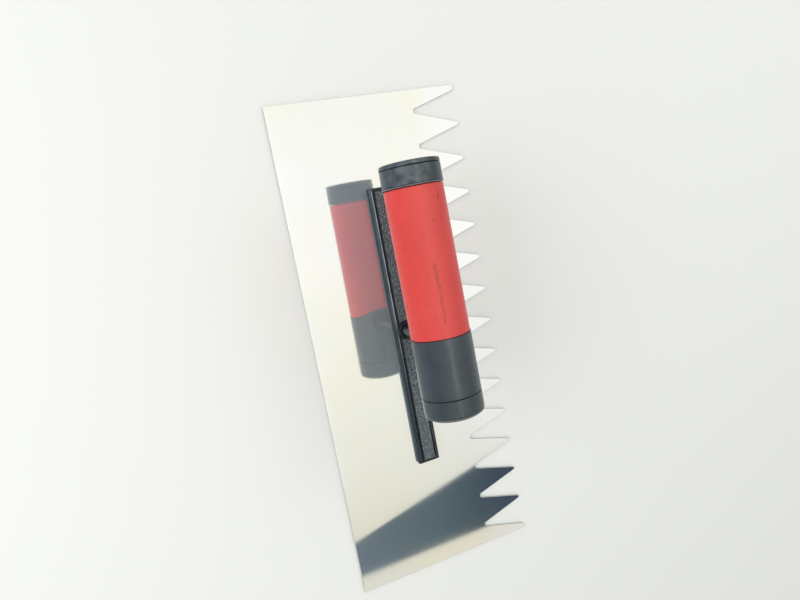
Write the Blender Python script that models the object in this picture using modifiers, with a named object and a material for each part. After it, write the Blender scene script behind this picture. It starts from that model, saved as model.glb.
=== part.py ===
"""Notched trowel: a polished blade with V notches, a mounting bar riveted to it, and a round
handle on a post.

The blade lies flat on z = 0, centred on the origin, with its notched edge towards +Y. The handle
runs along X above it and rises towards +X. Units are metres.
"""

import math

import bmesh
import bpy

# Blade: a thin plate with a straight back edge at -Y and teeth at +Y.
BLADE_LENGTH = 0.280
BLADE_WIDTH = 0.110
BLADE_THICKNESS = 0.0009
BLADE_CORNER_RADIUS = 0.0006
NOTCH_COUNT = 14
NOTCH_PITCH = 0.0197
NOTCH_DEPTH = 0.0265
NOTCH_FLOOR_WIDTH = 0.0024
NOTCH_FLOOR_RADIUS = 0.0009
TOOTH_TIP_WIDTH = 0.0015
TOOTH_TIP_RADIUS = 0.0005
END_TOOTH_RADIUS = 0.0010

# The gap kept between pieces that touch on the real object.
GAP = 0.0003

# The vertical plane that the bar, the post and the handle share, and the post's place in it.
CENTRE_Y = -0.0016
POST_X = -0.0081

# Mounting bar: a low bar with a raised textured land between two smooth shoulders.
BAR_LENGTH = 0.163
BAR_WIDTH = 0.0127
BAR_BOTTOM = BLADE_THICKNESS + GAP
BAR_WALL_TOP = BLADE_THICKNESS + 0.0036
BAR_SHOULDER_TOP = BLADE_THICKNESS + 0.0040
BAR_GROOVE_FLOOR = BLADE_THICKNESS + 0.0035
BAR_LAND_TOP = BLADE_THICKNESS + 0.0048
BAR_LAND_HALF_WIDTH = 0.0037
BAR_SHOULDER_HALF_WIDTH = 0.0047
BAR_EDGE_BEVEL = 0.0003
BOSS_RADIUS = 0.0051
BOSS_TOP = BAR_LAND_TOP + 0.0004

# Rivets: ground flush with the blade's underside, their other ends blind in the bar.
RIVET_OFFSETS = (0.016, 0.036, 0.056, 0.074)
RIVET_RADIUS = 0.0020
RIVET_RECESS = 0.00005
RIVET_TOP = BLADE_THICKNESS + 0.0031

# Handle: a round body on an axis that crosses the post's axis at AXIS_HEIGHT. Places along it
# are measured from that crossing, positive towards the front end.
AXIS_HEIGHT = 0.0537
HANDLE_TILT = math.radians(1.4)
HANDLE_REAR = -0.0895
HANDLE_FRONT = 0.0375
HANDLE_REAR_RADIUS = 0.01495
HANDLE_FRONT_RADIUS = 0.01535
REAR_CAP_REAR = -0.0867
REAR_CAP_FRONT = -0.0775
REAR_CAP_GROOVE = -0.0782
GRIP_EDGE_TOP = -0.0039
GRIP_EDGE_UNDERSIDE = -0.0096
GRIP_EDGE_DROP = 0.0155
GRIP_REAR_RADIUS = 0.01465
GRIP_FRONT_RADIUS = 0.01490
GRIP_EDGE_ROUND = 0.0006
FRONT_CAP_REAR = 0.0265
CORE_UNDER_GRIP_RADIUS = 0.0120
CORE_STUB_RADIUS = 0.0110
CORE_STUB_REAR = -0.0840
CORE_REAR_BORE_RADIUS = 0.0090
CORE_REAR_BORE_FLOOR = -0.0110
CORE_FRONT_BORE_RADIUS = 0.0095
CORE_FRONT_BORE_FLOOR = 0.0100
CAP_WALL = 0.0020
CAP_SPIGOT_LENGTH = 0.0080
CAP_FRONT_ROUND = 0.0030
PLUG_ROUND = 0.0010
PLUG_DOME = 0.0004

# Post: round, with a threaded top in the handle's nut and a spigot in the bar.
POST_RADIUS = 0.0037
POST_SPIGOT_RADIUS = 0.0031
POST_THREAD_RADIUS = 0.0030
POST_SHOULDER_RADIUS = 0.0058
POST_SHOULDER_HEIGHT = 0.0020
POST_TIP_HEIGHT = AXIS_HEIGHT + 0.0030
SEAT_HEIGHT = AXIS_HEIGHT - 0.0136
SEAT_RADIUS = 0.0062
SPIGOT_FLOOR = BAR_BOTTOM + 0.0027
COLLAR_RADIUS = 0.0048
COLLAR_HEIGHT = 0.0018
COLLAR_ROUND = 0.0007
WASHER_THICKNESS = 0.0012
WASHER_SPLIT = 0.0010

# The countersunk screw under the post, and the nut moulded into the handle.
SCREW_HEAD_RADIUS = 0.0038
SCREW_SHANK_RADIUS = 0.0020
SCREW_HEAD_HEIGHT = 0.0020
SCREW_LENGTH = 0.0120
SCREW_SOCKET_RADIUS = 0.0014
SCREW_SOCKET_DEPTH = 0.0012
NUT_ACROSS_FLATS = 0.0130
NUT_HEIGHT = 0.0065
NUT_BOTTOM = AXIS_HEIGHT - 0.0045

ROUND_STEPS = 64
SMALL_ROUND_STEPS = 32
RIVET_STEPS = 20
ARC_STEP = math.radians(24)
SHARP_ANGLE = math.radians(35)
FLAT_ANGLE = math.radians(0.05)
MERGE = 0.000001
REACH = 0.040


def clear_scene():
    for item in list(bpy.data.objects):
        bpy.data.objects.remove(item, do_unlink=True)


def new_collection(name):
    collection = bpy.data.collections.new(name)
    bpy.context.scene.collection.children.link(collection)
    return collection


def new_material(name, colour, roughness, metallic=0.0):
    material = bpy.data.materials.new(name)
    material.use_nodes = True
    shader = material.node_tree.nodes["Principled BSDF"]
    shader.inputs["Base Color"].default_value = (*colour, 1.0)
    shader.inputs["Roughness"].default_value = roughness
    shader.inputs["Metallic"].default_value = metallic
    return material


def fillet(before, corner, after, radius):
    """The points of an arc of this radius that rounds the corner between two neighbours."""
    to_before = (before[0] - corner[0], before[1] - corner[1])
    to_after = (after[0] - corner[0], after[1] - corner[1])
    start = math.atan2(to_before[1], to_before[0])
    opening = math.atan2(to_after[1], to_after[0]) - start
    opening = (opening + math.pi) % (2 * math.pi) - math.pi
    half = abs(opening) / 2
    reach = radius / math.sin(half)
    middle = start + opening / 2
    centre = (corner[0] + reach * math.cos(middle), corner[1] + reach * math.sin(middle))
    turn = math.pi - 2 * half
    steps = max(2, math.ceil(turn / ARC_STEP))
    side = -1 if opening > 0 else 1
    points = []
    for step in range(steps + 1):
        angle = middle + math.pi + side * turn * (step / steps - 0.5)
        points.append((centre[0] + radius * math.cos(angle), centre[1] + radius * math.sin(angle)))
    return points


def rounded(corners, closed=True):
    """An outline from (x, y) or (x, y, radius) corners, with an arc where a radius is given."""
    points = []
    count = len(corners)
    for index, corner in enumerate(corners):
        inner = closed or 0 < index < count - 1
        if inner and len(corner) == 3 and corner[2] > 0:
            before = corners[(index - 1) % count]
            after = corners[(index + 1) % count]
            points += fillet(before, corner, after, corner[2])
        else:
            points.append((corner[0], corner[1]))
    return points


def mesh_object(name, source, collection, helper, parent=None):
    """The evaluated shape of a source object as a closed, outward-facing mesh object.

    Faces that lie in one plane are joined, which keeps the Booleans clean.
    """
    bpy.context.view_layer.update()
    graph = bpy.context.evaluated_depsgraph_get()
    mesh = bpy.data.meshes.new_from_object(source.evaluated_get(graph))
    mesh.name = name
    edit = bmesh.new()
    edit.from_mesh(mesh)
    bmesh.ops.remove_doubles(edit, verts=edit.verts, dist=MERGE)
    bmesh.ops.recalc_face_normals(edit, faces=edit.faces)
    bmesh.ops.dissolve_limit(edit, angle_limit=FLAT_ANGLE, verts=[], edges=edit.edges)
    edit.to_mesh(mesh)
    edit.free()
    mesh.shade_smooth()
    mesh.set_sharp_from_angle(angle=SHARP_ANGLE)
    made = bpy.data.objects.new(name, mesh)
    made.matrix_world = source.matrix_world
    collection.objects.link(made)
    if parent is not None:
        made.parent = parent
    bpy.data.objects.remove(source, do_unlink=True)
    if helper:
        made.hide_render = True
        made.display_type = "WIRE"
    return made


def turned(name, profile, place, helper=False, steps=ROUND_STEPS):
    """A solid turned about the object's Z axis from (radius, height) corners.

    The corners run down the outer side. A profile that starts and ends on the axis is a solid,
    and one that stays off it closes into a ring.
    """
    ring = profile[0][0] > 0
    points = rounded(profile, closed=ring)
    edges = [(index, index + 1) for index in range(len(points) - 1)]
    if ring:
        edges.append((len(points) - 1, 0))
    mesh = bpy.data.meshes.new(name)
    mesh.from_pydata([(radius, 0.0, height) for radius, height in points], edges, [])
    source = bpy.data.objects.new(name + "_profile", mesh)
    place["collection"].objects.link(source)
    screw = source.modifiers.new("turn", "SCREW")
    screw.axis = "Z"
    screw.angle = 2 * math.pi
    screw.steps = steps
    screw.render_steps = steps
    screw.use_merge_vertices = True
    screw.merge_threshold = MERGE
    made = mesh_object(name, source, place["collection"], helper, place.get("parent"))
    made.location = place.get("location", (0.0, 0.0, 0.0))
    made.rotation_euler = place.get("rotation", (0.0, 0.0, 0.0))
    return made


def extruded(name, outlines, thickness, place, helper=False):
    """A flat outline in the object's XY plane, given thickness evenly about that plane.

    Any outline after the first is a hole in it.
    """
    curve = bpy.data.curves.new(name, "CURVE")
    curve.dimensions = "2D"
    curve.fill_mode = "BOTH"
    curve.extrude = thickness / 2
    for outline in outlines:
        spline = curve.splines.new("POLY")
        spline.points.add(len(outline) - 1)
        for point, (x, y) in zip(spline.points, outline):
            point.co = (x, y, 0.0, 1.0)
        spline.use_cyclic_u = True
    source = bpy.data.objects.new(name + "_outline", curve)
    place["collection"].objects.link(source)
    made = mesh_object(name, source, place["collection"], helper, place.get("parent"))
    made.location = place.get("location", (0.0, 0.0, 0.0))
    made.rotation_euler = place.get("rotation", (0.0, 0.0, 0.0))
    return made


def boolean(target, other, operation="DIFFERENCE"):
    modifier = target.modifiers.new(other.name, "BOOLEAN")
    modifier.operation = operation
    modifier.solver = "EXACT"
    modifier.object = other


def circle(radius, steps):
    """Points round a circle about the origin."""
    turns = [2 * math.pi * step / steps for step in range(steps)]
    return [(radius * math.cos(turn), radius * math.sin(turn)) for turn in turns]


def hexagon(across_flats):
    """The six corners of a nut's outline."""
    return circle(across_flats / math.sqrt(3), 6)


def rivet_places():
    """The X of each rivet, from the bar's rear end to its front end."""
    behind = [POST_X - offset for offset in reversed(RIVET_OFFSETS)]
    ahead = [POST_X + offset for offset in RIVET_OFFSETS]
    return behind + ahead


def handle_radius(along):
    """The outer radius of the black handle parts at a place along the handle."""
    share = (along - HANDLE_REAR) / (HANDLE_FRONT - HANDLE_REAR)
    return HANDLE_REAR_RADIUS + (HANDLE_FRONT_RADIUS - HANDLE_REAR_RADIUS) * share


def grip_edge(offset):
    """The side view of the edge between grip and front section: straight above, curved below."""
    recess = GRIP_EDGE_TOP - GRIP_EDGE_UNDERSIDE
    steps = 10
    points = [(GRIP_EDGE_TOP + offset, REACH)]
    for step in range(steps + 1):
        angle = math.pi / 2 * step / steps
        along = GRIP_EDGE_TOP - recess * (1 - math.cos(angle)) + offset
        points.append((along, -GRIP_EDGE_DROP * math.sin(angle)))
    points.append((GRIP_EDGE_UNDERSIDE + offset, -REACH))
    return points


def blade_outline():
    """The blade seen from above, from its rear back corner round to the first tooth."""
    end = BLADE_LENGTH / 2
    side = BLADE_WIDTH / 2
    mouth = (NOTCH_PITCH - TOOTH_TIP_WIDTH) / 2
    floor = NOTCH_FLOOR_WIDTH / 2
    corners = [
        (-end, -side, BLADE_CORNER_RADIUS),
        (end, -side, BLADE_CORNER_RADIUS),
        (end, side, END_TOOTH_RADIUS),
    ]
    for index in range(NOTCH_COUNT):
        middle = ((NOTCH_COUNT - 1) / 2 - index) * NOTCH_PITCH
        corners += [
            (middle + mouth, side, TOOTH_TIP_RADIUS),
            (middle + floor, side - NOTCH_DEPTH, NOTCH_FLOOR_RADIUS),
            (middle - floor, side - NOTCH_DEPTH, NOTCH_FLOOR_RADIUS),
            (middle - mouth, side, TOOTH_TIP_RADIUS),
        ]
    corners.append((-end, side, END_TOOTH_RADIUS))
    return rounded(corners)


def make_blade(parts):
    hole = circle(RIVET_RADIUS + GAP, RIVET_STEPS)
    outlines = [blade_outline()]
    for along in rivet_places():
        outlines.append([(x + along, y + CENTRE_Y) for x, y in hole])
    place = {"collection": parts, "location": (0.0, 0.0, BLADE_THICKNESS / 2)}
    return extruded("blade", outlines, BLADE_THICKNESS, place)


def bar_section():
    """The bar's cross-section: walls, smooth shoulders, grooves and the raised land."""
    half = BAR_WIDTH / 2
    groove = (BAR_LAND_HALF_WIDTH + BAR_SHOULDER_HALF_WIDTH) / 2
    right = [
        (half, BAR_BOTTOM),
        (half, BAR_WALL_TOP - BAR_EDGE_BEVEL),
        (half - BAR_EDGE_BEVEL, BAR_WALL_TOP),
        (BAR_SHOULDER_HALF_WIDTH, BAR_SHOULDER_TOP),
        (groove, BAR_GROOVE_FLOOR),
        (BAR_LAND_HALF_WIDTH, BAR_LAND_TOP - BAR_EDGE_BEVEL),
        (BAR_LAND_HALF_WIDTH - BAR_EDGE_BEVEL, BAR_LAND_TOP),
    ]
    left = [(-across, height) for across, height in reversed(right)]
    return right + left


def bar_side():
    """The bar seen from the side: square ends with a shoulder in front of the land."""
    half = BAR_LENGTH / 2
    land_inset = 0.0015
    right = [
        (half, BAR_BOTTOM),
        (half, BAR_WALL_TOP - BAR_EDGE_BEVEL),
        (half - BAR_EDGE_BEVEL, BAR_WALL_TOP),
        (half - land_inset, BAR_SHOULDER_TOP),
        (half - land_inset - BAR_EDGE_BEVEL, BAR_LAND_TOP),
    ]
    left = [(-along, height) for along, height in reversed(right)]
    return right + left


def make_mounting_bar(parts, cutters):
    place = {"location": (POST_X, CENTRE_Y, 0.0)}
    upright = math.pi / 2
    across = {**place, "collection": parts, "rotation": (upright, 0.0, upright)}
    bar = extruded("mounting_bar", [bar_section()], BAR_LENGTH + REACH, across)
    along = {**place, "collection": cutters, "rotation": (upright, 0.0, 0.0)}
    side = extruded("bar_side_view", [bar_side()], REACH, along, True)
    boolean(bar, side, "INTERSECT")
    helpers = {**place, "collection": cutters}
    boss_profile = [
        (0.0, BOSS_TOP),
        (BOSS_RADIUS, BOSS_TOP, BAR_EDGE_BEVEL),
        (BOSS_RADIUS, BAR_BOTTOM + GAP),
        (0.0, BAR_BOTTOM + GAP),
    ]
    boss = turned("bar_boss", boss_profile, helpers, True, SMALL_ROUND_STEPS)
    boolean(bar, boss, "UNION")
    seat_floor = SPIGOT_FLOOR - GAP
    sink_top = BAR_BOTTOM + SCREW_HEAD_HEIGHT
    slope = (SCREW_HEAD_RADIUS - SCREW_SHANK_RADIUS) / SCREW_HEAD_HEIGHT
    hole_profile = [
        (0.0, BOSS_TOP + REACH),
        (POST_SPIGOT_RADIUS + GAP, BOSS_TOP + REACH),
        (POST_SPIGOT_RADIUS + GAP, seat_floor),
        (SCREW_SHANK_RADIUS + GAP, seat_floor),
        (SCREW_SHANK_RADIUS + GAP, sink_top),
        (SCREW_HEAD_RADIUS + GAP + slope * BAR_BOTTOM, 0.0),
        (0.0, 0.0),
    ]
    hole = turned("post_seat", hole_profile, helpers, True, SMALL_ROUND_STEPS)
    boolean(bar, hole)
    blind_profile = [
        (0.0, RIVET_TOP + GAP),
        (RIVET_RADIUS + GAP, RIVET_TOP + GAP),
        (RIVET_RADIUS + GAP, 0.0),
        (0.0, 0.0),
    ]
    for number, rivet_x in enumerate(rivet_places(), start=1):
        place = {"collection": cutters, "location": (rivet_x, CENTRE_Y, 0.0)}
        blind = turned(f"bar_hole_{number}", blind_profile, place, True, RIVET_STEPS)
        boolean(bar, blind)
    return bar


def make_rivets(parts):
    profile = [
        (0.0, RIVET_TOP),
        (RIVET_RADIUS, RIVET_TOP, GAP),
        (RIVET_RADIUS, RIVET_RECESS),
        (0.0, RIVET_RECESS),
    ]
    rivets = []
    for number, along in enumerate(rivet_places(), start=1):
        place = {"collection": parts, "location": (along, CENTRE_Y, 0.0)}
        rivets.append(turned(f"blade_rivet_{number}", profile, place, False, RIVET_STEPS))
    return rivets


def make_post(parts):
    shoulder_top = SEAT_HEIGHT - WASHER_THICKNESS - 2 * GAP
    foot = BOSS_TOP + GAP
    bore_top = BAR_BOTTOM + SCREW_LENGTH + 2 * GAP
    bevel = 0.0005
    profile = [
        (0.0, POST_TIP_HEIGHT),
        (POST_THREAD_RADIUS - bevel, POST_TIP_HEIGHT),
        (POST_THREAD_RADIUS, POST_TIP_HEIGHT - bevel),
        (POST_THREAD_RADIUS, shoulder_top),
        (POST_SHOULDER_RADIUS, shoulder_top, bevel),
        (POST_SHOULDER_RADIUS, shoulder_top - POST_SHOULDER_HEIGHT, bevel),
        (POST_RADIUS, shoulder_top - POST_SHOULDER_HEIGHT),
        (POST_RADIUS, foot),
        (POST_SPIGOT_RADIUS, foot),
        (POST_SPIGOT_RADIUS, SPIGOT_FLOOR),
        (SCREW_SHANK_RADIUS + GAP, SPIGOT_FLOOR),
        (SCREW_SHANK_RADIUS + GAP, bore_top),
        (0.0, bore_top),
    ]
    place = {"collection": parts, "location": (POST_X, CENTRE_Y, 0.0)}
    return turned("post", profile, place, False, SMALL_ROUND_STEPS)


def make_post_collar(parts):
    bottom = BOSS_TOP + GAP
    inner = POST_RADIUS + GAP
    profile = [
        (COLLAR_RADIUS, bottom + COLLAR_HEIGHT, COLLAR_ROUND),
        (COLLAR_RADIUS, bottom),
        (inner, bottom),
        (inner, bottom + COLLAR_HEIGHT),
    ]
    place = {"collection": parts, "location": (POST_X, CENTRE_Y, 0.0)}
    return turned("post_collar", profile, place, False, SMALL_ROUND_STEPS)


def make_post_screw(parts, cutters):
    bottom = BAR_BOTTOM + RIVET_RECESS
    top = BAR_BOTTOM + SCREW_LENGTH
    profile = [
        (0.0, top),
        (SCREW_SHANK_RADIUS, top, GAP),
        (SCREW_SHANK_RADIUS, BAR_BOTTOM + SCREW_HEAD_HEIGHT),
        (SCREW_HEAD_RADIUS, bottom),
        (0.0, bottom),
    ]
    place = {"collection": parts, "location": (POST_X, CENTRE_Y, 0.0)}
    screw = turned("post_screw", profile, place, False, SMALL_ROUND_STEPS)
    place = {"collection": cutters, "location": (POST_X, CENTRE_Y, BAR_BOTTOM)}
    socket = extruded(
        "screw_socket", [circle(SCREW_SOCKET_RADIUS, 6)], 2 * SCREW_SOCKET_DEPTH, place, True
    )
    boolean(screw, socket)
    return screw


def make_lock_washer(parts, cutters):
    bottom = SEAT_HEIGHT - GAP - WASHER_THICKNESS
    inner = POST_THREAD_RADIUS + GAP
    profile = [
        (POST_SHOULDER_RADIUS, bottom + WASHER_THICKNESS),
        (POST_SHOULDER_RADIUS, bottom),
        (inner, bottom),
        (inner, bottom + WASHER_THICKNESS),
    ]
    place = {"collection": parts, "location": (POST_X, CENTRE_Y, 0.0)}
    washer = turned("lock_washer", profile, place, False, SMALL_ROUND_STEPS)
    half = WASHER_SPLIT / 2
    split = [(0.0, -half), (REACH, -half), (REACH, half), (0.0, half)]
    place = {"collection": cutters, "location": (POST_X, CENTRE_Y, bottom)}
    boolean(washer, extruded("washer_split", [split], REACH, place, True))
    return washer


def make_handle_nut(parts):
    outlines = [hexagon(NUT_ACROSS_FLATS), circle(POST_THREAD_RADIUS + GAP, SMALL_ROUND_STEPS)]
    place = {"collection": parts, "location": (POST_X, CENTRE_Y, NUT_BOTTOM + NUT_HEIGHT / 2)}
    return extruded("handle_nut", outlines, NUT_HEIGHT, place)


def make_handle_core(parts, cutters, frame):
    """The black moulding: a full-diameter front section and a thinner tube under the grip."""
    along = {"parent": frame, "rotation": (0.0, math.pi / 2, 0.0)}
    profile = [
        (0.0, CORE_FRONT_BORE_FLOOR),
        (CORE_FRONT_BORE_RADIUS, CORE_FRONT_BORE_FLOOR),
        (CORE_FRONT_BORE_RADIUS, FRONT_CAP_REAR - GAP),
        (handle_radius(FRONT_CAP_REAR), FRONT_CAP_REAR - GAP, GAP),
        (handle_radius(GRIP_EDGE_UNDERSIDE), GRIP_EDGE_UNDERSIDE),
        (CORE_UNDER_GRIP_RADIUS, GRIP_EDGE_UNDERSIDE),
        (CORE_UNDER_GRIP_RADIUS, REAR_CAP_FRONT),
        (CORE_STUB_RADIUS, REAR_CAP_FRONT),
        (CORE_STUB_RADIUS, CORE_STUB_REAR),
        (CORE_REAR_BORE_RADIUS, CORE_STUB_REAR),
        (CORE_REAR_BORE_RADIUS, CORE_REAR_BORE_FLOOR),
        (0.0, CORE_REAR_BORE_FLOOR),
    ]
    core = turned("handle_core", profile, {**along, "collection": parts})

    behind = [(-REACH, REACH)] + grip_edge(0.0) + [(-REACH, -REACH)]
    flat = {"parent": frame, "rotation": (math.pi / 2, 0.0, 0.0), "collection": cutters}
    seat = extruded("grip_seat", [behind], REACH, flat, True)
    kept_profile = [
        (0.0, REACH),
        (CORE_UNDER_GRIP_RADIUS, REACH),
        (CORE_UNDER_GRIP_RADIUS, -2 * REACH),
        (0.0, -2 * REACH),
    ]
    kept = turned("grip_seat_middle", kept_profile, {**along, "collection": cutters}, True)
    boolean(seat, kept)
    boolean(core, seat)

    upright = {"collection": cutters, "location": (POST_X, CENTRE_Y, 0.0)}
    hole_profile = [
        (0.0, POST_TIP_HEIGHT + 2 * GAP),
        (POST_THREAD_RADIUS + GAP, POST_TIP_HEIGHT + 2 * GAP),
        (POST_THREAD_RADIUS + GAP, SEAT_HEIGHT),
        (SEAT_RADIUS, SEAT_HEIGHT),
        (SEAT_RADIUS, SEAT_HEIGHT - REACH / 4),
        (0.0, SEAT_HEIGHT - REACH / 4),
    ]
    boolean(core, turned("post_hole", hole_profile, upright, True, SMALL_ROUND_STEPS))
    upright["location"] = (POST_X, CENTRE_Y, NUT_BOTTOM + NUT_HEIGHT / 2)
    pocket = [hexagon(NUT_ACROSS_FLATS + 2 * GAP)]
    boolean(core, extruded("nut_pocket", pocket, NUT_HEIGHT + 2 * GAP, upright, True))
    return core


def make_grip_sleeve(parts, cutters, frame):
    rear = REAR_CAP_FRONT + GAP
    front = GRIP_EDGE_TOP + 2 * GAP
    inner = CORE_UNDER_GRIP_RADIUS + GAP
    profile = [
        (GRIP_FRONT_RADIUS, front),
        (GRIP_REAR_RADIUS, rear, GRIP_EDGE_ROUND),
        (inner, rear),
        (inner, front),
    ]
    place = {"collection": parts, "parent": frame, "rotation": (0.0, math.pi / 2, 0.0)}
    grip = turned("grip_sleeve", profile, place)
    ahead = grip_edge(-GAP) + [(REACH, -REACH), (REACH, REACH)]
    flat = {"parent": frame, "rotation": (math.pi / 2, 0.0, 0.0), "collection": cutters}
    boolean(grip, extruded("grip_front_trim", [ahead], REACH, flat, True))
    return grip


def make_rear_cap(parts, frame):
    rear_radius = handle_radius(REAR_CAP_REAR)
    front_radius = handle_radius(REAR_CAP_FRONT)
    over_stub = CORE_STUB_RADIUS + GAP
    round_spigot = CORE_REAR_BORE_RADIUS + GAP
    groove_half = 0.00025
    groove_depth = 0.0003
    profile = [
        (front_radius, REAR_CAP_FRONT, GAP),
        (front_radius, REAR_CAP_GROOVE + groove_half),
        (front_radius - groove_depth, REAR_CAP_GROOVE),
        (front_radius, REAR_CAP_GROOVE - groove_half),
        (rear_radius, REAR_CAP_REAR, GAP),
        (round_spigot, REAR_CAP_REAR),
        (round_spigot, CORE_STUB_REAR - GAP),
        (over_stub, CORE_STUB_REAR - GAP),
        (over_stub, REAR_CAP_FRONT),
    ]
    place = {"collection": parts, "parent": frame, "rotation": (0.0, math.pi / 2, 0.0)}
    return turned("rear_cap", profile, place)


def make_rear_plug(parts, frame):
    face = REAR_CAP_REAR - GAP
    radius = handle_radius(HANDLE_REAR)
    outer = CORE_REAR_BORE_RADIUS - GAP
    inner = outer - CAP_WALL
    profile = [
        (0.0, face),
        (inner, face),
        (inner, face + CAP_SPIGOT_LENGTH),
        (outer, face + CAP_SPIGOT_LENGTH),
        (outer, face),
        (radius, face, GAP),
        (radius, HANDLE_REAR + PLUG_DOME, PLUG_ROUND),
        (radius * 0.6, HANDLE_REAR),
        (0.0, HANDLE_REAR),
    ]
    place = {"collection": parts, "parent": frame, "rotation": (0.0, math.pi / 2, 0.0)}
    return turned("rear_plug", profile, place)


def make_front_cap(parts, frame):
    radius = handle_radius(FRONT_CAP_REAR)
    outer = CORE_FRONT_BORE_RADIUS - GAP
    inner = outer - CAP_WALL
    profile = [
        (0.0, HANDLE_FRONT),
        (HANDLE_FRONT_RADIUS, HANDLE_FRONT, CAP_FRONT_ROUND),
        (radius, FRONT_CAP_REAR, GAP),
        (outer, FRONT_CAP_REAR),
        (outer, FRONT_CAP_REAR - CAP_SPIGOT_LENGTH),
        (inner, FRONT_CAP_REAR - CAP_SPIGOT_LENGTH),
        (inner, HANDLE_FRONT - CAP_WALL),
        (0.0, HANDLE_FRONT - CAP_WALL),
    ]
    place = {"collection": parts, "parent": frame, "rotation": (0.0, math.pi / 2, 0.0)}
    return turned("front_cap", profile, place)


def handle_frame(parts):
    """An empty on the handle's axis above the post, with its X axis along the handle."""
    frame = bpy.data.objects.new("handle_frame", None)
    frame.location = (POST_X, CENTRE_Y, AXIS_HEIGHT)
    frame.rotation_euler = (0.0, -HANDLE_TILT, 0.0)
    parts.objects.link(frame)
    return frame


def give(material, *objects):
    for item in objects:
        item.data.materials.clear()
        item.data.materials.append(material)


def main():
    clear_scene()
    parts = new_collection("notched_trowel")
    cutters = new_collection("cutters")
    frame = handle_frame(parts)

    polished_steel = new_material("polished_steel", (0.80, 0.80, 0.78), 0.05, 1.0)
    plain_steel = new_material("plain_steel", (0.60, 0.60, 0.60), 0.35, 1.0)
    textured_black = new_material("textured_black_paint", (0.045, 0.048, 0.052), 0.55)
    gloss_black = new_material("gloss_black_paint", (0.02, 0.02, 0.022), 0.25)
    black_plastic = new_material("black_plastic", (0.045, 0.055, 0.068), 0.45)
    red_rubber = new_material("red_rubber", (0.62, 0.045, 0.040), 0.50)

    give(polished_steel, make_blade(parts))
    give(plain_steel, *make_rivets(parts))
    give(textured_black, make_mounting_bar(parts, cutters))
    give(gloss_black, make_post(parts), make_post_collar(parts))
    give(plain_steel, make_post_screw(parts, cutters), make_lock_washer(parts, cutters))
    give(plain_steel, make_handle_nut(parts))
    give(black_plastic, make_handle_core(parts, cutters, frame))
    give(red_rubber, make_grip_sleeve(parts, cutters, frame))
    give(black_plastic, make_rear_cap(parts, frame), make_rear_plug(parts, frame))
    give(black_plastic, make_front_cap(parts, frame))


main()
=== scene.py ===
"""Notched trowel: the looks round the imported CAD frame.

Every length is in metres in the row frame: X along the blade, Y towards the teeth, Z up.
"""

import math

import bmesh
import bpy
from mathutils import Matrix, Vector, noise


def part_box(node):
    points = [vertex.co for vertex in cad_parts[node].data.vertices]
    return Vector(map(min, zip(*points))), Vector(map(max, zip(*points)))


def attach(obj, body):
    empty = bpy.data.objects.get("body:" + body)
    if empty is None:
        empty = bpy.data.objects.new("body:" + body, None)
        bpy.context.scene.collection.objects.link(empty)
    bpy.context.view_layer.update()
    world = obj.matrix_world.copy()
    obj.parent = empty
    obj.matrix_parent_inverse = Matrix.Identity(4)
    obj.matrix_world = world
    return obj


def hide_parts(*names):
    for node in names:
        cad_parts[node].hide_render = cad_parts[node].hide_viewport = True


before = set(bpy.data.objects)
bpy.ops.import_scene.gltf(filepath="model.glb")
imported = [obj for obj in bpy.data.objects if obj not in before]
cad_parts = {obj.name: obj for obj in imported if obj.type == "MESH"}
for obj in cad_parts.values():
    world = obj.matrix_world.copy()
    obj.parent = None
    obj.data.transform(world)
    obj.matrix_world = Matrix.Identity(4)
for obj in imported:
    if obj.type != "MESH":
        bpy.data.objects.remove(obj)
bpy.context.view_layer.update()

# The handle's axis rises towards +X.
HANDLE_TILT = math.radians(1.4)
HANDLE_AXIS = Vector((math.cos(HANDLE_TILT), 0.0, math.sin(HANDLE_TILT)))

# Soft copies: points closer than MERGE are one, and faces nearly in one plane are joined.
MERGE = 0.000001
FLAT = math.radians(0.05)
BEVEL_SEGMENTS = 2
BEVEL_ANGLE = math.radians(30)
# The blade's faces that look straight up or down are shaded flat.
LEVEL_NORMAL = 0.999
# Blade faces steeper than this belong to its cut edge.
EDGE_SLOPE = 0.35

# The blade is hazed by handling as far as the first X, and clear from the second.
HAZE_END = 0.045
CLEAR_START = 0.090
# The blade's warm stains fade out across this stretch of Y, and its teeth are clean.
STAIN_EDGE = (0.028, 0.042)

# The bar's paints are scaled by one share behind the first X and by another ahead of the second; on the
# crest beads this makes the painted highlight fade ahead.
BAR_FADE_SPAN = (-0.035, 0.030)
# Bar faces whose normals pass these slopes are its side walls and its shoulders' outer slopes.
WALL_SLOPE = 0.9
SHOULDER_SLOPE = 0.25
# Half the bar's width at the crest of each smooth shoulder, and the bead along it, which carries a
# painted highlight.
CREST_HALF_WIDTH = 0.00485
CREST_BELOW_TOP = 0.00132
CREST_INSET = 0.0014
CREST_BEAD = 0.00028
BEAD_FLATNESS = 0.6
BEAD_STEPS = 8

# The wrinkled skin on the bar's land: its outline, the gap round the post's foot, and its grid.
SKIN_HALF_WIDTH = 0.0034
SKIN_INSET = 0.0021
SKIN_GAP_RADIUS = 0.0053
SKIN_STEP = 0.00022
# The skin's underside is sunk into the land, which lies below the bar's highest point.
LAND_BELOW_TOP = 0.0004
SKIN_SUNK = 0.00012
# The skin's least height, the heights of its wrinkles and pebbles, and how many grid steps they
# take to rise from its border.
SKIN_HEIGHT = 0.00010
WRINKLE_HEIGHT = 0.00016
WRINKLE_SCALE = 1500
WRINKLE_OCTAVES = 3
PEBBLE_HEIGHT = 0.00010
PEBBLE_SCALE = 1350
BORDER_STEPS = 2

# The rolled lips of the caps: how many steps round the handle and round the lip, and the share of
# its radius by which a lip is sunk into its cap.
LIP_TURNS = 96
LIP_STEPS = 10
LIP_SUNK = 0.4
REAR_LIP_SIZE = 0.0003
# How far the rear lip sits back from the rear cap's front rim.
REAR_LIP_BACK = 0.0003
FRONT_LIP_SIZE = 0.0004
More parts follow.
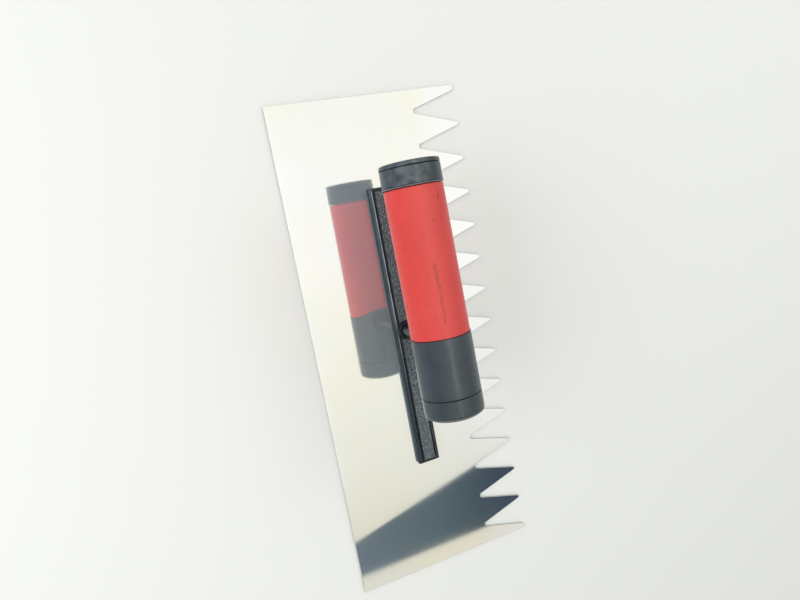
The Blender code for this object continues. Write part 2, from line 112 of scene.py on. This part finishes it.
# The front cap's rounded end, and how far round it the front lip lies.
CAP_ROUND = 0.003
FRONT_LIP_TURN = math.radians(30)

# Windows are (axis, span, values) sides: a value is scaled by each side's values across its span.
# The row of scuffs along the top of the grip.
SCUFFS = [
    ("X", (-0.058, -0.048), (0.0, 1.0)),
    ("X", (-0.021, -0.012), (1.0, 0.0)),
    ("Y", (-0.0070, -0.0040), (0.0, 1.0)),
    ("Y", (-0.0040, -0.0010), (1.0, 0.0)),
    ("Z", (0.0540, 0.0600), (0.0, 1.0)),
]
# Where the rear cap is paler: on its upper side, towards -Y.
REAR_CAP_PALE_WINDOW = [
    ("Y", (-0.0170, -0.0120), (0.3, 1.0)),
    ("Y", (-0.0010, 0.0040), (1.0, 0.0)),
    ("Z", (0.0420, 0.0520), (0.0, 1.0)),
]

NOISE = "ShaderNodeTexNoise"
VORONOI = "ShaderNodeTexVoronoi"
PATTERN_OUTPUTS = {NOISE: "Fac", VORONOI: "Distance"}
WHITE = (1.0, 1.0, 1.0)
# Blacks reflect a little bluer than the studio.
COOL = (0.74, 0.91, 1.0, 1.0)
# The moulded plastic's darkest and palest black.
PLASTIC_DARK = (0.006, 0.014, 0.025)
PLASTIC_PALE = (0.012, 0.023, 0.037)

CAMERA_PLACE = (-0.0790, -0.1162, 0.3214)
CAMERA_DEGREES = (-5.09, -21.197, 78.783)
CAMERA_LENS = 26.95
CAMERA_SENSOR = 36.0
CAMERA_CLIP = 0.01

FLOOR_REACH = 3.0
FLOOR_DROP = 0.0002
PANEL_HEIGHT = 0.80
PANEL_REACH = 1.2
CEILING_START = -1.6
WALL_END = 1.4
# The slanting edge of the ceiling: it starts at (GAP_FAR_X, GAP_POINT) and moves by GAP_SLANT in X
# for each unit of Y.
GAP_POINT = -0.221
GAP_SLANT = -0.24
GAP_FAR_X = 0.650
GAP_END_X = GAP_FAR_X + GAP_SLANT * (PANEL_REACH - GAP_POINT)
LAMP_X = (-0.70, 0.45)
LAMP_Y = (-0.03, 0.08)
LAMP_DROP = 0.01


# ---------------------------------------------------------------- pieces


def link(name, mesh):
    piece = bpy.data.objects.new(name, mesh)
    bpy.context.scene.collection.objects.link(piece)
    return piece


def soft_copy(node, name, width, level=False):
    """A CAD node's shape with its edges rounded, as a piece that stands for the node."""
    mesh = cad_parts[node].data.copy()
    mesh.name = name
    edit = bmesh.new()
    edit.from_mesh(mesh)
    bmesh.ops.remove_doubles(edit, verts=edit.verts, dist=MERGE)
    bmesh.ops.dissolve_limit(edit, angle_limit=FLAT, verts=edit.verts, edges=edit.edges)
    edit.to_mesh(mesh)
    edit.free()
    piece = link(name, mesh)
    bevel = piece.modifiers.new("soft_edges", "BEVEL")
    bevel.width = width
    bevel.segments = BEVEL_SEGMENTS
    bevel.limit_method = "ANGLE"
    bevel.angle_limit = BEVEL_ANGLE
    bevel.miter_outer = "MITER_ARC"
    weigh = piece.modifiers.new("even_normals", "WEIGHTED_NORMAL")
    weigh.keep_sharp = False
    bpy.context.view_layer.update()
    graph = bpy.context.evaluated_depsgraph_get()
    shaped = bpy.data.meshes.new_from_object(piece.evaluated_get(graph))
    piece.modifiers.clear()
    piece.data = shaped
    if level:
        for face in shaped.polygons:
            if abs(face.normal.z) > LEVEL_NORMAL:
                face.use_smooth = False
    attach(piece, "root")
    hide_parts(node)
    return piece


def smooth_piece(name, edit):
    """A smooth piece from an edited mesh, on the trowel's one body."""
    bmesh.ops.recalc_face_normals(edit, faces=edit.faces)
    mesh = bpy.data.meshes.new(name)
    edit.to_mesh(mesh)
    edit.free()
    mesh.shade_smooth()
    piece = link(name, mesh)
    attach(piece, "root")
    return piece


def bridge(edit, here, there):
    """A band of faces between two rings of as many points."""
    for step in range(len(here)):
        after = (step + 1) % len(here)
        edit.faces.new([here[step], here[after], there[after], there[step]])


def skin_height(x, y, border):
    """The height of the wrinkled skin at a point that is so many grid steps from its border."""
    spot = Vector((x, y, 0.0))
    wrinkle = noise.turbulence(spot * WRINKLE_SCALE, WRINKLE_OCTAVES, True)
    pebble = 1.0 - noise.voronoi(spot * PEBBLE_SCALE)[0][0]
    relief = WRINKLE_HEIGHT * wrinkle + PEBBLE_HEIGHT * pebble
    return SKIN_HEIGHT + relief * min(1.0, border / BORDER_STEPS)


def bar_grain(name):
    """The wrinkled skin of the bar's raised land, left open round the post's foot."""
    low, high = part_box("mounting_bar")
    post_low, post_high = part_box("post")
    middle_x = (post_low.x + post_high.x) / 2
    middle_y = (low.y + high.y) / 2
    length = high.x - low.x - 2 * SKIN_INSET
    skin_bottom = high.z - LAND_BELOW_TOP - SKIN_SUNK
    columns = int(length / SKIN_STEP)
    rows = int(2 * SKIN_HALF_WIDTH / SKIN_STEP)
    edit = bmesh.new()
    grid = {}
    for column in range(columns + 1):
        x = low.x + SKIN_INSET + length * column / columns
        for row in range(rows + 1):
            y = middle_y - SKIN_HALF_WIDTH + 2 * SKIN_HALF_WIDTH * row / rows
            if math.hypot(x - middle_x, y - middle_y) < SKIN_GAP_RADIUS:
                continue
            border = min(row, rows - row, column, columns - column)
            grid[column, row] = edit.verts.new((x, y, skin_bottom + skin_height(x, y, border)))
    for column in range(columns):
        for row in range(rows):
            corners = [(column, row), (column + 1, row), (column + 1, row + 1), (column, row + 1)]
            if all(corner in grid for corner in corners):
                edit.faces.new([grid[corner] for corner in corners])
    top = list(edit.faces)
    loose = [vert for vert in edit.verts if not vert.link_faces]
    bmesh.ops.delete(edit, geom=loose, context="VERTS")
    made = bmesh.ops.extrude_face_region(edit, geom=top)
    for item in made["geom"]:
        if isinstance(item, bmesh.types.BMVert):
            item.co.z = skin_bottom
    return smooth_piece(name, edit)


def crest_bead(name, side):
    """The rounded crest of one of the bar's shoulders, a bead that carries a painted highlight along its
    length.
    """
    low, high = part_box("mounting_bar")
    y = (low.y + high.y) / 2 + side * CREST_HALF_WIDTH
    z = high.z - CREST_BELOW_TOP
    edit = bmesh.new()
    rings = []
    for x in (low.x + CREST_INSET, high.x - CREST_INSET):
        ring = []
        for step in range(BEAD_STEPS):
            bend = 2 * math.pi * step / BEAD_STEPS
            across = CREST_BEAD * math.cos(bend)
            up = BEAD_FLATNESS * CREST_BEAD * math.sin(bend)
            ring.append(edit.verts.new((x, y + across, z + up)))
        rings.append(ring)
    bridge(edit, rings[0], rings[1])
    edit.faces.new(rings[0])
    edit.faces.new(rings[1])
    return smooth_piece(name, edit)


def lip_ring(name, centre, radius, size):
    """A thin rolled lip round the handle's axis."""
    tilt = Matrix.Rotation(-HANDLE_TILT, 4, "Y")
    edit = bmesh.new()
    rings = []
    for turn in range(LIP_TURNS):
        around = 2 * math.pi * turn / LIP_TURNS
        ring = []
        for step in range(LIP_STEPS):
            bend = 2 * math.pi * step / LIP_STEPS
            out = radius + size * (math.cos(bend) - LIP_SUNK)
            ahead = size * math.sin(bend)
            spot = Vector((ahead, out * math.cos(around), out * math.sin(around)))
            ring.append(edit.verts.new(centre + tilt @ spot))
        rings.append(ring)
    for turn in range(LIP_TURNS):
        bridge(edit, rings[turn], rings[(turn + 1) % LIP_TURNS])
    return smooth_piece(name, edit)


def rear_lip(name):
    """The lip that stands out where the rear cap meets the rubber."""
    low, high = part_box("rear_cap")
    radius = (high.y - low.y) / 2
    # The front rim's centre lies half the cap's own length ahead of its middle, along the axis.
    half = ((high.x - low.x) - 2 * radius * math.sin(HANDLE_TILT)) / 2
    centre = (low + high) / 2 + HANDLE_AXIS * (half - REAR_LIP_BACK)
    return lip_ring(name, centre, radius, REAR_LIP_SIZE)


def front_lip(name):
    """The lip on the front cap's rounded end."""
    low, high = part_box("front_cap")
    radius = (high.y - low.y) / 2
    end_radius = radius - CAP_ROUND
    # The rounding starts where the cap's side is highest, a rounding's length behind the end face.
    start = Vector((
        high.x - CAP_ROUND * math.cos(HANDLE_TILT) - end_radius * math.sin(HANDLE_TILT),
        (low.y + high.y) / 2,
        high.z - radius * math.cos(HANDLE_TILT),
    ))
    centre = start + HANDLE_AXIS * CAP_ROUND * math.sin(FRONT_LIP_TURN)
    lip_radius = radius - CAP_ROUND * (1 - math.cos(FRONT_LIP_TURN))
    return lip_ring(name, centre, lip_radius, FRONT_LIP_SIZE)


# ---------------------------------------------------------------- material tools


def principled(name, roughness, metallic=0.0):
    material = bpy.data.materials.new(name)
    material.use_nodes = True
    shader = material.node_tree.nodes["Principled BSDF"]
    shader.inputs["Roughness"].default_value = roughness
    shader.inputs["Metallic"].default_value = metallic
    return material, material.node_tree, shader


def cool_gloss(shader, level):
    shader.inputs["Specular IOR Level"].default_value = level
    shader.inputs["Specular Tint"].default_value = COOL


def pattern(tree, kind, scale, stretch=(1, 1, 1), detail=2.0):
    """A procedural pattern in object coordinates: one repeat is about 1 / scale metres."""
    place = tree.nodes.new("ShaderNodeTexCoord")
    mapping = tree.nodes.new("ShaderNodeMapping")
    mapping.inputs["Scale"].default_value = stretch
    tree.links.new(place.outputs["Object"], mapping.inputs["Vector"])
    texture = tree.nodes.new(kind)
    texture.inputs["Scale"].default_value = scale
    if "Detail" in texture.inputs:
        texture.inputs["Detail"].default_value = detail
    tree.links.new(mapping.outputs["Vector"], texture.inputs["Vector"])
    return texture.outputs[PATTERN_OUTPUTS[kind]]


def colours(tree, value, stops):
    """A colour that follows a value through (position, colour) stops."""
    ramp = tree.nodes.new("ShaderNodeValToRGB")
    elements = ramp.color_ramp.elements
    while len(elements) < len(stops):
        elements.new(0.5)
    for element, (position, colour) in zip(elements, stops):
        element.position = position
        element.color = (*colour, 1.0)
    tree.links.new(value, ramp.inputs["Fac"])
    return ramp.outputs["Color"]


def spread(tree, value, low, high):
    """A value from 0 to 1 as one from low to high."""
    node = tree.nodes.new("ShaderNodeMapRange")
    node.inputs["To Min"].default_value = low
    node.inputs["To Max"].default_value = high
    tree.links.new(value, node.inputs["Value"])
    return node.outputs["Result"]


def multiply(tree, colour, layer, share):
    """A colour darkened by a share of a second layer."""
    mix = tree.nodes.new("ShaderNodeMix")
    mix.data_type = "RGBA"
    mix.blend_type = "MULTIPLY"
    mix.inputs["Factor"].default_value = share
    tree.links.new(colour, mix.inputs["A"])
    tree.links.new(layer, mix.inputs["B"])
    return mix.outputs["Result"]


def along(tree, axis, span, values):
    """A value that runs from one to another while an object coordinate crosses a span."""
    place = tree.nodes.new("ShaderNodeTexCoord")
    split = tree.nodes.new("ShaderNodeSeparateXYZ")
    tree.links.new(place.outputs["Object"], split.inputs["Vector"])
    node = tree.nodes.new("ShaderNodeMapRange")
    node.inputs["From Min"].default_value, node.inputs["From Max"].default_value = span
    node.inputs["To Min"].default_value, node.inputs["To Max"].default_value = values
    tree.links.new(split.outputs[axis], node.inputs["Value"])
    return node.outputs["Result"]


def replaced_along(tree, colour, axis, span, replacement):
    """A colour that turns into another while an object coordinate crosses a span."""
    mix = tree.nodes.new("ShaderNodeMix")
    mix.data_type = "RGBA"
    tree.links.new(along(tree, axis, span, (0.0, 1.0)), mix.inputs["Factor"])
    tree.links.new(colour, mix.inputs["A"])
    mix.inputs["B"].default_value = (*replacement, 1.0)
    return mix.outputs["Result"]


def faded(tree, colour, span, shares):
    """A colour scaled from one share to another while X crosses a span."""
    fade = tree.nodes.new("ShaderNodeVectorMath")
    fade.operation = "SCALE"
    tree.links.new(colour, fade.inputs[0])
    tree.links.new(along(tree, "X", span, shares), fade.inputs["Scale"])
    return fade.outputs["Vector"]


def inside(tree, value, window):
    """A value kept inside a window and faded out past each of its sides."""
    for axis, span, values in window:
        product = tree.nodes.new("ShaderNodeMath")
        product.operation = "MULTIPLY"
        tree.links.new(value, product.inputs[0])
        tree.links.new(along(tree, axis, span, values), product.inputs[1])
        value = product.outputs["Value"]
    return value


def bump(tree, shader, layers):
    """Relief from (height value, depth in metres) layers, each on top of the last."""
    normal = None
    for value, depth in layers:
        node = tree.nodes.new("ShaderNodeBump")
        node.inputs["Distance"].default_value = depth
        node.inputs["Strength"].default_value = 1.0
        tree.links.new(value, node.inputs["Height"])
        if normal is not None:
            tree.links.new(normal, node.inputs["Normal"])
        normal = node.outputs["Normal"]
    tree.links.new(normal, shader.inputs["Normal"])


# ---------------------------------------------------------------- materials


def polished_steel():
    """Mirror-polished stainless steel: hazed by handling, with faint warm stains and smears."""
    material, tree, shader = principled("mirror_polished_steel", 0.05, 0.80)
    stains = pattern(tree, NOISE, 13.0, detail=3.0)
    tint = colours(tree, stains, [(0.40, (0.77, 0.87, 0.95)), (0.62, (0.79, 0.87, 0.87))])
    cleaned = replaced_along(tree, tint, "Y", STAIN_EDGE, (0.80, 0.90, 1.0))
    tree.links.new(cleaned, shader.inputs["Base Color"])
    smear = pattern(tree, NOISE, 45.0, (1.0, 0.35, 1.0), 5.0)
    tree.links.new(spread(tree, smear, 0.01, 0.085), shader.inputs["Roughness"])
    cleared = along(tree, "X", (HAZE_END, CLEAR_START), (0.755, 0.93))
    tree.links.new(cleared, shader.inputs["Metallic"])
    lines = pattern(tree, NOISE, 900.0, (0.02, 1.0, 1.0), 3.0)
    bump(tree, shader, [(lines, 0.0000002)])
    return material


def sheared_steel():
    """The blade's cut edge: matt, drawn in fine lines through the thickness."""
    material, tree, shader = principled("sheared_steel_edge", 0.4, 0.9)
    lines = pattern(tree, NOISE, 2500.0, (1.0, 1.0, 0.1), 3.0)
    tint = colours(tree, lines, [(0.3, (0.20, 0.20, 0.20)), (0.7, (0.36, 0.36, 0.35))])
    tree.links.new(tint, shader.inputs["Base Color"])
    tree.links.new(spread(tree, lines, 0.35, 0.55), shader.inputs["Roughness"])
    bump(tree, shader, [(lines, 0.00001)])
    return material


def plain_steel(name, dark, pale):
    """Turned steel, mottled from a dark to a paler grey."""
    material, tree, shader = principled(name, 0.35, 1.0)
    mottle = pattern(tree, NOISE, 700.0, detail=4.0)
    tint = colours(tree, mottle, [(0.3, dark), (0.7, pale)])
    tree.links.new(tint, shader.inputs["Base Color"])
    tree.links.new(spread(tree, mottle, 0.25, 0.45), shader.inputs["Roughness"])
    grooves = pattern(tree, NOISE, 6000.0, (1.0, 0.05, 1.0), 2.0)
    bump(tree, shader, [(grooves, 0.000004)])
    return material


def smooth_paint():
    """Glossy black paint with a slight orange peel."""
    material, tree, shader = principled("smooth_black_paint", 0.26)
    cool_gloss(shader, 0.35)
    patches = pattern(tree, NOISE, 260.0, detail=6.0)
    tint = colours(tree, patches, [(0.3, (0.008, 0.012, 0.017)), (0.7, (0.014, 0.020, 0.028))])
    tree.links.new(tint, shader.inputs["Base Color"])
    tree.links.new(spread(tree, patches, 0.20, 0.32), shader.inputs["Roughness"])
    peel = pattern(tree, NOISE, 1500.0, detail=5.0)
    bump(tree, shader, [(peel, 0.000006)])
    return material


def wrinkled_paint():
    """Wrinkle-finish paint whose colour is painted dark in the hollows and pale on the crests: painted
    shade and a painted highlight over its relief.
    """
    material, tree, shader = principled("wrinkled_black_paint", 0.4)
    cool_gloss(shader, 0.8)
    crests = pattern(tree, NOISE, 2300.0, (1.0, 0.7, 1.0), 3.0)
    # Darker hollows and paler crests follow the relief: painted shade and a painted highlight.
    tint = colours(tree, crests, [
        (0.40, (0.012, 0.016, 0.022)),
        (0.53, (0.050, 0.062, 0.076)),
        (0.68, (0.27, 0.31, 0.355)),
    ])
    tree.links.new(tint, shader.inputs["Base Color"])
    tree.links.new(spread(tree, crests, 0.50, 0.30), shader.inputs["Roughness"])
    bump(tree, shader, [(crests, 0.00012)])
    return material


def dull_paint(name, dark, pale, roughness, specular, shares):
    """Black paint dulled in patches, and scaled from the first share to the second along the bar."""
    material, tree, shader = principled(name, roughness)
    cool_gloss(shader, specular)
    patchiness = pattern(tree, NOISE, 240.0, (0.3, 1.0, 1.0), 5.0)
    tint = colours(tree, patchiness, [(0.35, dark), (0.65, pale)])
    tree.links.new(faded(tree, tint, BAR_FADE_SPAN, shares), shader.inputs["Base Color"])
    tree.links.new(spread(tree, patchiness, roughness - 0.06, roughness + 0.06), shader.inputs["Roughness"])
    peel = pattern(tree, NOISE, 1500.0, detail=5.0)
    bump(tree, shader, [(peel, 0.000006)])
    return material


def crest_highlight_paint():
    """Pale grey paint along a crest: a painted highlight, brightest behind the post and fading ahead of
    it.
    """
    material, tree, shader = principled("painted_crest_highlight", 0.25)
    cool_gloss(shader, 0.8)
    patchiness = pattern(tree, NOISE, 300.0, (0.3, 1.0, 1.0), 5.0)
    # These pale greys are a painted highlight, mottled by noise.
    tint = colours(tree, patchiness, [(0.30, (0.23, 0.26, 0.28)), (0.65, (0.48, 0.53, 0.56))])
    tree.links.new(faded(tree, tint, BAR_FADE_SPAN, (1.0, 0.16)), shader.inputs["Base Color"])
    tree.links.new(spread(tree, patchiness, 0.20, 0.35), shader.inputs["Roughness"])
    return material


def black_plastic(name, dark, pale, grain=1.0, window=(), blotch=110.0):
    """Moulded plastic mottled from a dark to a paler black, with a spark-eroded grain.

    A larger grain is both deeper and coarser, and the paler blotches stay inside the window.
    """
    material, tree, shader = principled(name, 0.42)
    cool_gloss(shader, 0.7)
    shader.inputs["Coat Weight"].default_value = 0.3
    shader.inputs["Coat Roughness"].default_value = 0.25
    patches = pattern(tree, NOISE, blotch, detail=6.0)
    mottle = inside(tree, spread(tree, patches, -1.0, 2.0), window)
    tint = colours(tree, mottle, [(0.0, dark), (1.0, pale)])
    tree.links.new(tint, shader.inputs["Base Color"])
    worn = pattern(tree, NOISE, 160.0, (0.4, 1.0, 1.0), 6.0)
    tree.links.new(spread(tree, worn, 0.34, 0.50), shader.inputs["Roughness"])
    pebbles = pattern(tree, VORONOI, 2600.0 / math.sqrt(grain))
    fine = pattern(tree, NOISE, 5200.0 / math.sqrt(grain), detail=3.0)
    bump(tree, shader, [(pebbles, 0.00003 * grain), (fine, 0.00002 * grain)])
    return material


def red_rubber():
    """Soft red rubber with a bloom, dust specks, grimy smears and a row of scuffs on top."""
    material, tree, shader = principled("red_rubber_grip", 0.55)
    shader.inputs["Sheen Weight"].default_value = 0.26
    shader.inputs["Sheen Roughness"].default_value = 0.4
    patches = pattern(tree, NOISE, 55.0, detail=6.0)
    tint = colours(tree, patches, [(0.3, (0.62, 0.030, 0.026)), (0.7, (0.68, 0.040, 0.035))])
    dust = pattern(tree, VORONOI, 150.0)
    specks = colours(tree, dust, [(0.05, (0.12, 0.05, 0.05)), (0.08, WHITE)])
    grime = pattern(tree, NOISE, 210.0, (0.45, 1.0, 1.0), 6.0)
    smears = colours(tree, grime, [(0.66, WHITE), (0.74, (0.35, 0.15, 0.18))])
    rubs = pattern(tree, NOISE, 900.0, (0.30, 0.9, 0.9), 7.0)
    scuffs = colours(tree, inside(tree, rubs, SCUFFS), [(0.30, WHITE), (0.50, (0.45, 0.45, 0.55))])
    dirtied = tint
    for layer, share in ((specks, 0.6), (smears, 0.7), (scuffs, 0.55)):
        dirtied = multiply(tree, dirtied, layer, share)
    tree.links.new(dirtied, shader.inputs["Base Color"])
    tree.links.new(spread(tree, patches, 0.48, 0.62), shader.inputs["Roughness"])
    fine = pattern(tree, NOISE, 3800.0, detail=4.0)
    broad = pattern(tree, NOISE, 120.0, detail=2.0)
    bump(tree, shader, [(broad, 0.00004), (fine, 0.000014)])
    return material


def paint(piece, material):
    piece.data.materials.clear()
    piece.data.materials.append(material)


def more_paint(piece, material):
    """Adds a material for some of a painted piece's faces, and gives its index."""
    piece.data.materials.append(material)
    return len(piece.data.materials) - 1


# ---------------------------------------------------------------- the trowel


def painted_blade():
    blade = soft_copy("blade", "polished_blade", 0.00012, level=True)
    paint(blade, polished_steel())
    edge = more_paint(blade, sheared_steel())
    for face in blade.data.polygons:
        if abs(face.normal.z) < EDGE_SLOPE:
            face.material_index = edge


def painted_bar(smooth):
    bar = soft_copy("mounting_bar", "riveted_bar", 0.00015)
    paint(bar, smooth)
    wall = more_paint(bar, dull_paint(
        "dull_black_wall",
        dark=(0.014, 0.032, 0.053),
        pale=(0.024, 0.046, 0.071),
        roughness=0.50,
        specular=0.10,
        shares=(0.7, 1.2),
    ))
    shoulder = more_paint(bar, dull_paint(
        "dull_black_shoulder",
        dark=(0.042, 0.062, 0.082),
        pale=(0.082, 0.110, 0.134),
        roughness=0.45,
        specular=0.25,
        shares=(1.0, 0.30),
    ))
    low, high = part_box("mounting_bar")
    middle = (low.y + high.y) / 2
    for face in bar.data.polygons:
        if abs(face.normal.y) > WALL_SLOPE:
            face.material_index = wall
        elif abs(face.center.y - middle) > CREST_HALF_WIDTH and face.normal.z > SHOULDER_SLOPE:
            face.material_index = shoulder


smooth = smooth_paint()
crest_highlight = crest_highlight_paint()
plastic = black_plastic("moulded_black_plastic", PLASTIC_DARK, PLASTIC_PALE)
grained = black_plastic("grained_black_plastic", PLASTIC_DARK, PLASTIC_PALE, grain=3.0)
# The caps' lips are pale grey: a painted highlight along their rims.
lip_highlight_plastic = black_plastic("lip_painted_highlight_plastic", (0.06, 0.07, 0.08), (0.16, 0.17, 0.18))
# The rear cap and disc are mottled paler on their upper side, towards -Y.
pale_topped_plastic = black_plastic(
    "pale_topped_black_plastic",
    (0.004, 0.012, 0.024),
    (0.075, 0.088, 0.108),
    window=REAR_CAP_PALE_WINDOW,
    blotch=260.0,
)
fixings = plain_steel("turned_steel", (0.52, 0.52, 0.52), (0.68, 0.68, 0.67))
blackened = plain_steel("blackened_steel", (0.05, 0.055, 0.06), (0.10, 0.105, 0.11))

painted_blade()
painted_bar(smooth)
# The crest beads carry a painted highlight.
paint(crest_bead("bar_left_crest", -1), crest_highlight)
paint(crest_bead("bar_right_crest", 1), crest_highlight)
paint(bar_grain("bar_land_skin"), wrinkled_paint())
paint(soft_copy("post", "handle_post", 0.00025), smooth)
paint(soft_copy("post_collar", "post_foot_ring", 0.0002), smooth)
paint(soft_copy("handle_core", "handle_body", 0.0002), plastic)
paint(soft_copy("front_cap", "handle_front_cap", 0.0002), grained)
paint(soft_copy("rear_cap", "handle_rear_ring", 0.0002), pale_topped_plastic)
paint(soft_copy("rear_plug", "handle_rear_disc", 0.0002), pale_topped_plastic)
# Both lips carry a painted highlight.
paint(rear_lip("rear_cap_lip"), lip_highlight_plastic)
paint(front_lip("front_cap_lip"), lip_highlight_plastic)
paint(soft_copy("grip_sleeve", "rubber_grip", 0.0003), red_rubber())
for node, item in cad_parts.items():
    if node.startswith("blade_rivet") or node in ("post_screw", "handle_nut"):
        paint(item, fixings)
paint(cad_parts["lock_washer"], blackened)

# ---------------------------------------------------------------- camera

lens = bpy.data.cameras.new("camera")
lens.sensor_width = CAMERA_SENSOR
lens.lens = CAMERA_LENS
lens.clip_start = CAMERA_CLIP
camera = link("camera", lens)
camera.location = CAMERA_PLACE
camera.rotation_euler = [math.radians(angle) for angle in CAMERA_DEGREES]
bpy.context.scene.camera = camera

# ---------------------------------------------------------------- studio


def flat_card(name, corners, material):
    mesh = bpy.data.meshes.new(name)
    mesh.from_pydata(corners, [], [tuple(range(len(corners)))])
    mesh.materials.append(material)
    card = link(name, mesh)
    return card


def panel(name, outline, material):
    """An overhead card that shows only as a reflection, like a studio panel out of the picture."""
    card = flat_card(name, [(x, y, PANEL_HEIGHT) for x, y in outline], material)
    card.visible_camera = False
    card.visible_diffuse = False
    card.visible_shadow = False
    card.visible_transmission = False
    return card


def rectangle(span_x, span_y):
    (left, right), (near, far) = span_x, span_y
    return [(left, near), (right, near), (right, far), (left, far)]


def glow(name, colour, strength):
    material = bpy.data.materials.new(name)
    material.use_nodes = True
    tree = material.node_tree
    tree.nodes.clear()
    emission = tree.nodes.new("ShaderNodeEmission")
    emission.inputs["Color"].default_value = (*colour, 1.0)
    emission.inputs["Strength"].default_value = strength
    output = tree.nodes.new("ShaderNodeOutputMaterial")
    tree.links.new(emission.outputs["Emission"], output.inputs["Surface"])
    return material


def fading_glow(name, stops, axis, span, strength):
    """A glow whose colour follows its stops while an axis crosses a span."""
    material = glow(name, WHITE, strength)
    tree = material.node_tree
    colour = colours(tree, along(tree, axis, span, (0.0, 1.0)), stops)
    tree.links.new(colour, tree.nodes["Emission"].inputs["Color"])
    return material


def softbox(name, size, location, power):
    """A rectangular light aimed at the frame's origin, which doesn't show as a reflection."""
    light = bpy.data.lights.new(name, "AREA")
    light.shape = "RECTANGLE"
    light.size, light.size_y = size
    light.energy = power
    lamp = link(name, light)
    lamp.location = location
    lamp.rotation_euler = (-Vector(location)).to_track_quat("-Z", "Y").to_euler()
    lamp.visible_glossy = False


world = bpy.data.worlds.new("studio")
world.use_nodes = True
sky = world.node_tree.nodes["Background"]
sky.inputs["Color"].default_value = (0.985, 1.0, 0.975, 1.0)
sky.inputs["Strength"].default_value = 0.72
bpy.context.scene.world = world
bpy.context.scene.view_settings.view_transform = "Standard"

floor_material, _, floor_shader = principled("pale_floor", 0.85)
floor_shader.inputs["Base Color"].default_value = (0.87, 0.88, 0.855, 1.0)
floor_span = (-FLOOR_REACH, FLOOR_REACH)
floor_corners = [(x, y, 0.0) for x, y in rectangle(floor_span, floor_span)]
floor = flat_card("floor", floor_corners, floor_material)
floor.location.z = -FLOOR_DROP

# Overhead panels, seen only in the polished blade: a white ceiling that dims towards its slanting
# edge, a dark gap beyond it, a long lamp, and a pale wall beyond the gap.
ceiling = [
    (CEILING_START, -PANEL_REACH),
    (GAP_FAR_X, -PANEL_REACH),
    (GAP_FAR_X, GAP_POINT),
    (GAP_END_X, PANEL_REACH),
    (CEILING_START, PANEL_REACH),
]
gap = [(GAP_FAR_X, GAP_POINT), (GAP_FAR_X, PANEL_REACH), (GAP_END_X, PANEL_REACH)]
wall = rectangle((GAP_FAR_X, WALL_END), (-PANEL_REACH, PANEL_REACH))
ceiling_fade = [
    (0.0, (1.05, 0.92, 0.76)),
    (0.35, (1.11, 0.97, 0.83)),
    (0.6, (0.99, 0.87, 0.73)),
    (1.0, (0.77, 0.68, 0.56)),
]
gap_fade = [(0.0, (0.13, 0.16, 0.19)), (0.55, (0.06, 0.095, 0.12)), (1.0, (0.0, 0.015, 0.035))]
panel("ceiling_panel", ceiling, fading_glow("ceiling_white", ceiling_fade, "X", (-0.30, 0.56), 1.2))
panel("ceiling_gap", gap, fading_glow("gap_blue", gap_fade, "Y", (0.08, 0.44), 1.0))
lamp_card = panel("overhead_lamp", rectangle(LAMP_X, LAMP_Y), glow("lamp_white", (1.0, 0.99, 0.97), 5.0))
lamp_card.location.z = -LAMP_DROP
panel("far_wall", wall, glow("wall_beige", (0.93, 0.80, 0.64), 1.0))

softbox("key_softbox", (0.6, 0.4), (-0.15, -0.66, 0.42), 2.4)
softbox("fill_softbox", (0.35, 0.25), (-0.28, 0.45, 0.50), 0.6)
